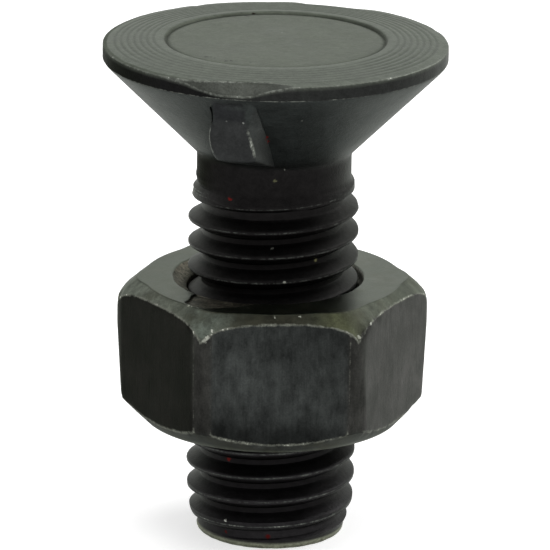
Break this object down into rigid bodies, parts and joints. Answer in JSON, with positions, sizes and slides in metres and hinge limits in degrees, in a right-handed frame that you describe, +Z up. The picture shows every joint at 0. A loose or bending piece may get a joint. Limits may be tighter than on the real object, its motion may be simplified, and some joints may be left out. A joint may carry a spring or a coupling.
{
  "type": "plow bolt",
  "caption": "Flat countersunk plow bolt with a nib under the head and a coarse right-hand thread, carrying a hex nut half way up.",
  "frame": {"origin": "middle of the flat thread end, on the bolt's axis, where the bolt stands", "axes": "+Z up the bolt's axis from the thread end to the head, -Y towards the nib under the head"},
  "size_m": [0.0236, 0.0236, 0.035],
  "materials": {
    "bolt_steel": "black oxide, semi-gloss, worn bright on edges",
    "nut_steel": "black oxide, satin with drawn marks, stained and worn on edges"
  },
  "bodies": {
    "bolt": {"plow_bolt": "bolt_steel"},
    "nut": {"hex_nut": "nut_steel"}
  },
  "joints": [
    {"name": "nut_turn", "type": "hinge", "parent": "bolt", "child": "nut", "pos_m": [0, 0, 0.01325], "axis": [0, 0, 1], "continuous": true}
  ]
}
